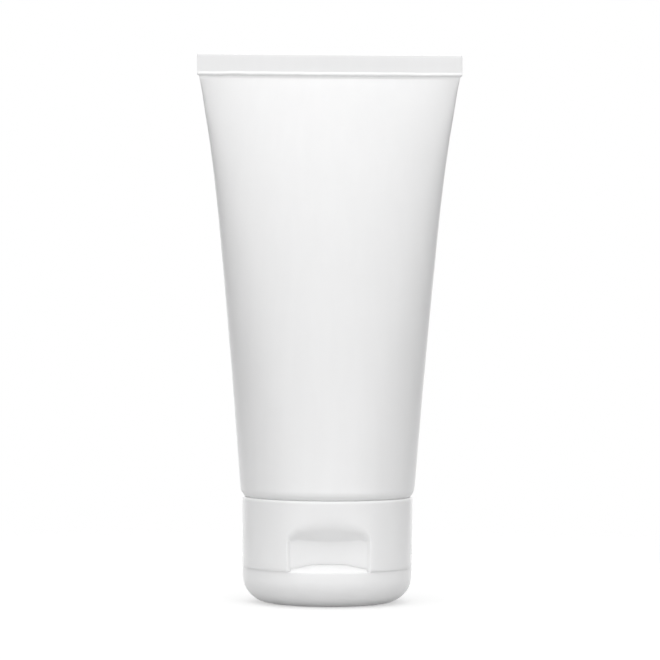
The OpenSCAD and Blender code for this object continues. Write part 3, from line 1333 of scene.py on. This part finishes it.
@dataclass
class Washer:
    """Loose sealing ring between the deck and the neck."""

    hole: float = 4.0
    rounding: float = 0.25

    def build(self, finishes: Finishes) -> None:
        """Build the ring with rounded edges and a faint pressed groove.

        Args:
            finishes: Every finish of the tube.
        """
        low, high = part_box("sealing_washer")
        bottom, top, radius = low.z / MM, high.z / MM, high.x / MM
        r, groove = self.rounding, (Head.bore + Head.neck) / 2
        profile = [
            *arc((radius - r, bottom + r), r, -90, 0, 5),
            *arc((radius - r, top - r), r, 0, 90, 5),
            (groove + 0.5, top),
            (groove, top - 0.06),
            (groove - 0.5, top),
            *arc((self.hole + r, top - r), r, 90, 180, 5),
            *arc((self.hole + r, bottom + r), r, 180, 270, 5),
        ]
        columns = [[place(a, pr, z) for pr, z in profile] for a in mirrored([(0, 180, 5)])]
        ring = finish_mesh("washer_ring", columns_mesh(columns, True), 50.0, finishes.washer)
        dress(ring, Body.SEAL, Slot.WASHER, "sealing_washer")


# Heights of the rows on the inside of the cap's skirt, closer together where a step runs out.
LINING_ROWS = (23.6, 22.4, 21.5, 21.0, 20.6, 19.8, 19.4, 19.0, 18.0, 16.0, 14.0, 12.4)
# Angles (start, end, step) past the edges of the flat at the cap's back.
FLAT_SPANS = ((154, 161, 0.5), (161, 180, 1.9))


@dataclass
class CapShape:
    """Sizes that the base and the lid of the cap share."""

    radius: float = 20.0
    wall: float = 1.4
    flat: float = 18.5


@dataclass
class CapBase(CapShape):
    """Skirt with the thumb recess, deck, spout, collar, thread and ribs."""

    recess_half: float = 9.65
    recess_y: float = 17.0
    recess_top: float = 20.6
    recess_past: float = 0.6
    step_lean: float = 6.0
    rows_from: float = 14.0
    rows_to: float = 20.4
    row_step: float = 0.14
    plain_step: float = 0.8
    flare: float = 0.15
    flare_top: float = 24.7
    top_bevel: float = 0.6
    seam: float = 8.4
    edge_round: float = 0.02
    ceiling_centre: float = 30.0
    ceiling_height: float = 3.9
    ceiling_depth: float = 3.0
    ceiling_bow: float = 0.42
    ceiling_back: float = 15.5
    ceiling_start: float = 13.0
    corner_reach: float = 2.8
    corner_drop: float = 0.9
    front_round: float = 0.7
    front_least: float = 0.05
    front_rise: tuple[float, float] = (14.5, 16.5)
    inner_round: float = 0.2
    side_round: float = 0.42
    side_past: float = 0.15
    flat_round: float = 0.15
    lining_round: float = 0.3
    flat_top: float = 17.84
    deck: float = 10.34
    deck_wall: float = 1.4
    spout: float = 4.0
    bore: float = 2.5
    collar_in: float = 9.22
    collar_out: float = 10.62
    collar_top: float = 22.35
    ridge_tip: float = 8.22
    thread_start: float = 16.39
    thread_turns: float = 1.39
    ribs: int = 8
    rib_height: float = 3.5
    rib_wall: float = 1.0

    def skin(self, angle: float, z: float) -> float:
        """Return the radius of the skirt's outside at an angle from the front.

        Args:
            angle: Angle from the front, in radians.
            z: Height in millimetres.

        Returns:
            The radius in millimetres.
        """
        share = clamp((z - self.seam) / (self.flare_top - self.seam))
        radius = self.radius + self.flare * share
        facing = math.cos(angle)
        across = abs(self.radius * math.sin(angle))
        in_recess = across < self.recess_half + self.recess_past and z < self.recess_top
        if facing > 0.5 and in_recess:
            back = self.recess_y / facing
            corner = smooth(across, self.recess_half - self.corner_reach, self.recess_half)
            up = (z - self.ceiling_back + self.corner_drop * corner**2) / self.ceiling_height
            reach = (1 + self.ceiling_bow) * up - self.ceiling_bow * up * abs(up)
            cone = self.ceiling_centre + self.recess_y + self.ceiling_depth * reach
            centre = self.ceiling_centre * facing
            slope = math.sqrt(max(0.0, centre**2 - self.ceiling_centre**2 + cone**2)) - centre
            recess = soft_max(back, slope, self.inner_round) if z > self.ceiling_start else back
            side = smooth(
                across, self.recess_half - self.side_round, self.recess_half + self.side_past
            )
            rounding = self.front_round * smooth(z, *self.front_rise) + self.front_least
            cut = soft_min(radius, recess, rounding)
            return cut + (radius - cut) * side
        if facing < -0.5:
            run = max(0.0, z - self.flat_top) * self.step_lean
            return soft_min(radius, (self.flat + run) / -facing, self.flat_round)
        return radius

    def lining(self, angle: float, z: float) -> float:
        """Return the radius of the skirt's inside at an angle from the front.

        Args:
            angle: Angle from the front, in radians.
            z: Height in millimetres.

        Returns:
            The radius in millimetres.
        """
        inner = self.radius - self.wall
        facing = math.cos(angle)
        across = abs(self.radius * math.sin(angle))
        if facing > 0.5:
            run = max(0.0, z - self.recess_top - 0.2) * self.step_lean
            wall = (self.recess_y - self.wall + run) / facing
            side = smooth(across, self.recess_half + 1.0, self.recess_half + 1.8)
            cut = soft_min(inner, wall, self.lining_round)
            return cut + (inner - cut) * side
        if facing < -0.5:
            run = max(0.0, z - self.flat_top - self.wall) * self.step_lean
            return soft_min(inner, (self.flat - self.wall + run) / -facing, self.lining_round)
        return inner

    def column(self, angle: float, top: float) -> list[Point]:
        """Return the closed profile of the base at one angle.

        Args:
            angle: Angle from the front, in radians.
            top: Height of the top in millimetres.

        Returns:
            The points of the loop.
        """
        points: list[Point] = []

        def add(radius: float, z: float) -> None:
            """Add a point of the profile."""
            points.append(place(angle, radius, z))

        e = self.edge_round
        bottom = self.seam
        for r, z in arc((0.0, bottom + e), e, -90, 0, 3):
            add(self.skin(angle, z) - e + r, z)
        bevel = self.top_bevel
        levels = [
            bottom + 2 * e,
            *spread(bottom + 0.5, self.rows_from - 0.4, self.plain_step),
            *spread(self.rows_from, self.rows_to, self.row_step),
            *spread(self.rows_to + self.plain_step, top - bevel - 0.4, self.plain_step),
        ]
        for z in levels:
            add(self.skin(angle, z), z)
        for r, z in arc((-bevel, top - bevel), bevel, 0, 90, 5):
            add(self.skin(angle, top) + r, z)
        for r, z in arc((0.15, top - 0.15), 0.15, 90, 180, 2):
            add(self.lining(angle, top) + r, z)
        deck_top = self.deck + self.deck_wall
        for z in LINING_ROWS:
            add(self.lining(angle, z), z)
        for r, z in arc((-0.5, deck_top + 0.5), 0.5, 0, -90, 4):
            add(self.lining(angle, z) + r, z)
        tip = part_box("cap_base")[0].z / MM
        for centre, radius, start, end, steps in (
            ((self.collar_out + 0.4, deck_top + 0.4), 0.4, 270, 180, 3),
            ((self.collar_out - 0.3, self.collar_top - 0.3), 0.3, 0, 90, 4),
            ((self.collar_in + 0.3, self.collar_top - 0.3), 0.3, 90, 180, 4),
            ((self.collar_in - 0.3, deck_top + 0.3), 0.3, 0, -90, 3),
            ((self.bore + 0.3, deck_top - 0.3), 0.3, 90, 180, 4),
            ((self.bore + 0.35, tip + 0.35), 0.35, 180, 270, 4),
            ((self.spout - 0.45, tip + 0.45), 0.45, 270, 360, 5),
            ((self.spout + 0.35, self.deck - 0.35), 0.35, 180, 90, 3),
        ):
            for r, z in arc(centre, radius, start, end, steps):
                add(r, z)
        for r, z in arc((-0.4, self.deck - 0.4), 0.4, 90, 0, 3):
            add(self.lining(angle, self.deck) + r, z)
        add(self.lining(angle, bottom), bottom + 0.1)
        add(self.lining(angle, bottom) + 0.1, bottom)
        return points

    def build(self, finishes: Finishes) -> None:
        """Build the moulding, its thread and its ribs.

        Args:
            finishes: Every finish of the tube.
        """
        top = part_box("cap_base")[1].z / MM
        spans = [(0, 26, 1.1), (26, 30, 0.2), (30, 154, 2.4), *FLAT_SPANS]
        columns = [self.column(a, top) for a in mirrored(spans)]
        body = finish_mesh("cap_base_body", columns_mesh(columns, True), 50.0, finishes.cap)
        dress(body, Body.CAP, Slot.CAP, "cap_base")
        ridge = Thread(
            "collar_thread",
            self.collar_in,
            self.ridge_tip,
            self.thread_start,
            self.thread_turns,
            Side.IN,
        ).build(finishes.cap)
        dress(ridge, Body.CAP, Slot.CAP)
        dress(self.rib_ring(finishes), Body.CAP, Slot.CAP)

    def rib_ring(self, finishes: Finishes) -> bpy.types.Object:
        """Return the ribs round the collar, made by their tree.

        Args:
            finishes: Every finish of the tube.

        Returns:
            The finished ribs.
        """
        deck_top = self.deck + self.deck_wall
        start, end = self.collar_out - 0.5, self.recess_y - self.wall + 0.2
        sheets = Sheets(
            "rib_shape",
            {
                "Rib Wall": self.rib_wall,
                "Rib Length": end - start,
                "Rib Height": self.rib_height + 0.5,
                "Ring Radius": (start + end) / 2,
                "Ring Height": deck_top - 0.5,
                "Count": float(self.ribs),
            },
        )
        graph = sheets.graph
        count = sheets["Count"]
        grid = graph.out(
            "GeometryNodeMeshCube",
            {},
            {"Size": (2.0, 2.0, 1.0), "Vertices X": 7, "Vertices Y": 2, "Vertices Z": 2},
        )
        x, y, z = graph.split(graph.out("GeometryNodeInputPosition"))
        crown = 1 - 0.1 * x.own("ABSOLUTE") ** 4
        spot = graph.vector(
            x * sheets["Rib Wall"] / 2,
            y * sheets["Rib Length"] / 2,
            sheets["Rib Height"] * crown * (z + 0.5),
        )
        rib = graph.placed(grid, spot)
        points = graph.out("GeometryNodePoints", {}, {"Count": count})
        index = graph.out("GeometryNodeInputIndex")
        turn = (index + 0.5) / count * (2 * math.pi)
        away = sheets["Ring Radius"]
        where = graph.vector(
            away * turn.own("COSINE"), away * turn.own("SINE"), sheets["Ring Height"]
        )
        ring = graph.placed(points, where)
        sheets.instances(rib, ring, graph.vector(0.0, 0.0, turn - math.pi / 2))
        return sheets.bake("collar_ribs", finishes.cap, 50.0)


@dataclass
class Lid(CapShape):
    """Rounded lid with its plug and its thumb lip."""

    height: float = 8.4
    rounding: float = 6.4
    floor: float = 1.6
    lip_half: float = 9.62
    lip_back: float = 17.03
    lip_rise: float = 1.85
    lip_gap: float = 0.12
    crest: float = 0.1
    plug: float = 2.4
    plug_top: float = 10.04
    plug_bevel: float = 0.5
    edge_round: float = 0.02
    gate: float = 1.1
    lip_flat: float = 3.2
    lip_end: float = 9.2
    lip_fall: float = 0.5

    def back(self, angle: float, radius: float, depth: float) -> float:
        """Return a radius cut by the flat at the back, set in by depth.

        Args:
            angle: Angle from the front, in radians.
            radius: Radius before the cut.
            depth: How far the cut is set in.

        Returns:
            The radius in millimetres.
        """
        facing = -math.cos(angle)
        if facing <= 0.2:
            return radius
        return soft_min(radius, (self.flat - depth) / facing, 0.12)

    def column(self, angle: float) -> list[Point]:
        """Return the profile of the lid at one angle, from the underside to the plug.

        Args:
            angle: Angle from the front, in radians.

        Returns:
            The points, both ends on the axis.
        """
        facing = math.cos(angle)
        across = abs((self.radius - 1.2) * math.tan(angle)) if facing > 0.5 else 99.0
        gap = self.lip_gap
        lip = 1 - smooth(across, self.lip_half - gap, self.lip_half + gap)
        rise = self.lip_rise * (1 - self.lip_fall * smooth(across, self.lip_flat, self.lip_end))
        inner = self.radius - self.wall
        points: list[Point] = []

        def add(radius: float, z: float, depth: float = 0.0) -> None:
            """Add a point, cut by the flat at the back."""
            points.append(place(angle, self.back(angle, radius, depth), z))

        for r, z in (
            (0.0, 0.22),
            (self.gate * 0.75, 0.22),
            (self.gate, 0.02),
            (self.gate + 0.3, 0.0),
            (7.0, 0.0),
            (11.0, 0.0),
        ):
            add(r, z)
        start = self.radius - self.rounding
        for r, z in arc((start, self.rounding), self.rounding, -90, 0, 22):
            add(r, z)
        e = self.edge_round
        add(self.radius, self.height - 0.8)
        add(self.radius, self.height - 2 * e)
        for r, z in arc((self.radius - e, self.height - e), e, 0, 90, 3):
            add(r, z)
        back = self.lip_back / max(facing, 0.3)
        front = self.radius - gap
        for s in (0.02, 0.2, 0.4, 0.6, 0.8, 0.92, 0.98, 1.0):
            height = rise * (s - self.crest * max(0.0, s - 0.8) ** 2 / 0.2)
            lip_r = front - (front - back) * s
            plain_r = front - (self.wall - 0.3) * s
            add(plain_r + (lip_r - plain_r) * lip, self.height + height * lip)
        for drop in (0.15, 1.2, 3.0):
            height = self.height + rise * lip - drop * (1 + 0.4 * lip)
            inside = inner + (back + 0.02 - inner) * lip
            add(inside, min(height, self.height - 0.1 + lip * 2), self.wall)
        hollow = self.rounding - self.wall
        for r, z in arc((inner - hollow, self.floor + hollow), hollow, -8, -90, 8):
            add(r, z, self.wall)
        for r, z in arc((self.plug + 0.4, self.floor + 0.4), 0.4, 270, 180, 3):
            add(r, z)
        bevel = self.plug_bevel
        for r, z in arc((self.plug - bevel, self.plug_top - bevel), bevel, 0, 90, 4):
            add(r, z)
        add(0.0, self.plug_top - 0.1)
        return points

    def build(self, finishes: Finishes) -> None:
        """Build the lid.

        Args:
            finishes: Every finish of the tube.
        """
        spans = [(0, 24, 1.2), (24, 29, 0.2), (29, 154, 2.4), *FLAT_SPANS]
        columns = [self.column(a) for a in mirrored(spans)]
        body = finish_mesh("lid_body", columns_mesh(columns, False), 50.0, finishes.cap)
        dress(body, Body.LID, Slot.CAP, "cap_lid")


@dataclass
class Hinge:
    """Two thin films and the snap strap between the base and the lid."""

    bend: float = 1.3
    film_wall: float = 0.3

    def plate(self, name: str, node: str, belly: float, wall: float, finishes: Finishes) -> None:
        """Build one bent plate over the hinge line.

        Args:
            name: Name of the piece.
            node: The node that it stands for.
            belly: How far the plate's middle stands out of its ends.
            wall: Its thickness.
            finishes: The finishes.
        """
        low, high = (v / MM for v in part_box(node))
        middle = (low.z + high.z) / 2
        half = (high.z - low.z) / 2
        outer = high.y
        mesh = bmesh.new()
        rows = []
        for z in spread(low.z, high.z, 0.16):
            share = abs(z - middle) / half
            out = outer - belly * share**1.5
            grip = 1 - 0.5 * smooth(share, 0.85, 1.0)
            narrow = 0.12 * math.cos(share * math.pi / 2) * (high.x - low.x)
            left, right = low.x + narrow, high.x - narrow
            ring = []
            for x, y in (
                (left, out - wall * grip),
                (left, out - 0.08),
                (left + 0.08, out),
                ((left + right) / 2, out),
                (right - 0.08, out),
                (right, out - 0.08),
                (right, out - wall * grip),
                ((left + right) / 2, out - wall * grip),
            ):
                ring.append(mesh.verts.new(Vector((x, y, z)) * MM))
            rows.append(ring)
        for here, there in zip(rows, rows[1:]):
            for i in range(len(here)):
                k = (i + 1) % len(here)
                mesh.faces.new((here[i], here[k], there[k], there[i]))
        mesh.faces.new(rows[0])
        mesh.faces.new(rows[-1])
        made = finish_mesh(name, mesh, 50.0, finishes.cap)
        line = next(j for j in frame["record"]["behaviour"]["joints"] if j["name"] == "lid_hinge")
        y, z = line["pos_m"][1], line["pos_m"][2]
        reach = self.bend * MM
        z + reach
        z - reach
        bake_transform(made)
        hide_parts(node)
        report(made)

    def build(self, finishes: Finishes) -> None:
        """Build the films and the strap.

        Args:
            finishes: Every finish of the tube.
        """
        self.plate("film_left", "hinge_film_left", 0.5, self.film_wall, finishes)
        self.plate("film_right", "hinge_film_right", 0.5, self.film_wall, finishes)
        self.plate("strap", "snap_strap", 0.0, 0.5, finishes)


@dataclass
class Studio:
    """Floor, lights and camera."""

    distance: float = 779.5
    height: float = 72.8
    lens: float = 179.5
    pitch: float = -0.62
    roll: float = 0.32
    aside: float = 0.38
    azimuth: float = -1.3
    front: float = 0.55
    flank: float = 1.14
    turned: float = 0.3
    behind: float = 1.3
    above: float = 1.3
    below: float = 0.24
    sides: float = 0.06
    paper: float = 300.0
    sensor: float = 36.0
    aim: float = 65.0

    def build(self, finishes: Finishes) -> None:
        """Build the stage and what lights and sees it.

        Args:
            finishes: Every finish of the tube.
        """
        self.floor(finishes)
        self.world()
        self.light("overhead", (-60, -140, 560), 700, 1.05)
        self.light("front", (30, -600, 300), 500, 0.45)
        self.camera()
        bpy.context.scene.view_settings.view_transform = "Standard"

    def floor(self, finishes: Finishes) -> None:
        """Lay the floor.

        Args:
            finishes: Every finish of the tube.
        """
        mesh = bmesh.new()
        bmesh.ops.create_circle(mesh, cap_ends=True, segments=96, radius=self.paper * MM)
        data = bpy.data.meshes.new("floor")
        mesh.to_mesh(data)
        mesh.free()
        data.materials.append(finishes.floor)
        made = bpy.data.objects.new("floor", data)
        bpy.context.scene.collection.objects.link(made)

    def world(self) -> None:
        """Light the studio from all round, less from the two sides."""
        world = bpy.data.worlds.new("studio")
        world.use_nodes = True
        graph = Graph(world.node_tree)
        way = graph.out("ShaderNodeTexCoord", output="Generated")
        x, y, z = graph.split(way)
        aside = x.own("ABSOLUTE")
        level = self.front + (self.flank - self.front) * aside.ramp(0.1, 0.5)
        level = level + (self.turned - level) * y.ramp(-0.2, 0.4)
        level = level + (self.sides - level) * aside.ramp(0.66, 0.98)
        level = level + (self.behind - level) * y.ramp(0.7, 0.95)
        level = level + (self.above - level) * z.ramp(0.0, 1.0)
        level = level + (self.below - level) * (1 - z.ramp(-0.5, 0.0))
        seen = graph.out("ShaderNodeLightPath", output="Is Camera Ray")
        back = graph.node(
            "ShaderNodeBackground",
            {},
            {"Color": (1, 1, 1, 1), "Strength": level + (1.0 - level) * seen},
        )
        graph.node("ShaderNodeOutputWorld", {}, {"Surface": back.outputs[0]})
        bpy.context.scene.world = world

    def light(self, name: str, where: Point, size: float, power: float) -> None:
        """Hang one soft square light that points at the tube.

        Args:
            name: Name of the light.
            where: Its place in millimetres.
            size: Its width in millimetres.
            power: Its power in watts.
        """
        lamp = bpy.data.lights.new(name, "AREA")
        lamp.shape, lamp.size, lamp.energy = "SQUARE", size * MM, power
        made = bpy.data.objects.new(name, lamp)
        made.location = Vector(where) * MM
        aim = Vector((0, 0, self.aim)) * MM - made.location
        made.rotation_euler = aim.to_track_quat("-Z", "Y").to_euler()
        bpy.context.scene.collection.objects.link(made)

    def camera(self) -> None:
        """Set the camera."""
        lens = bpy.data.cameras.new("camera")
        lens.lens, lens.sensor_width = self.lens, self.sensor
        lens.clip_start, lens.clip_end = 0.05, 20.0
        made = bpy.data.objects.new("camera", lens)
        look = Euler((math.radians(90 + self.pitch), 0, 0)).to_matrix()
        turn = Matrix.Rotation(math.radians(self.roll), 3, "Z")
        around = Matrix.Rotation(math.radians(self.azimuth), 3, "Z")
        made.rotation_euler = (around @ look @ turn).to_euler()
        made.location = around @ Vector((self.aside, -self.distance, self.height)) * MM
        bpy.context.scene.collection.objects.link(made)
        bpy.context.scene.camera = made


def main() -> None:
    """Build every piece in order."""
    logging.basicConfig(level=logging.INFO, format="%(message)s")
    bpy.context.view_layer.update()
    finishes = Finishes.mixed()
    sleeve = Sleeve()
    sleeve.build(finishes)
    Head().build(finishes)
    Cream().build(sleeve, finishes)
    Washer().build(finishes)
    CapBase().build(finishes)
    Lid().build(finishes)
    Hinge().build(finishes)
    Studio().build(finishes)


if __name__ == "__main__":
    main()
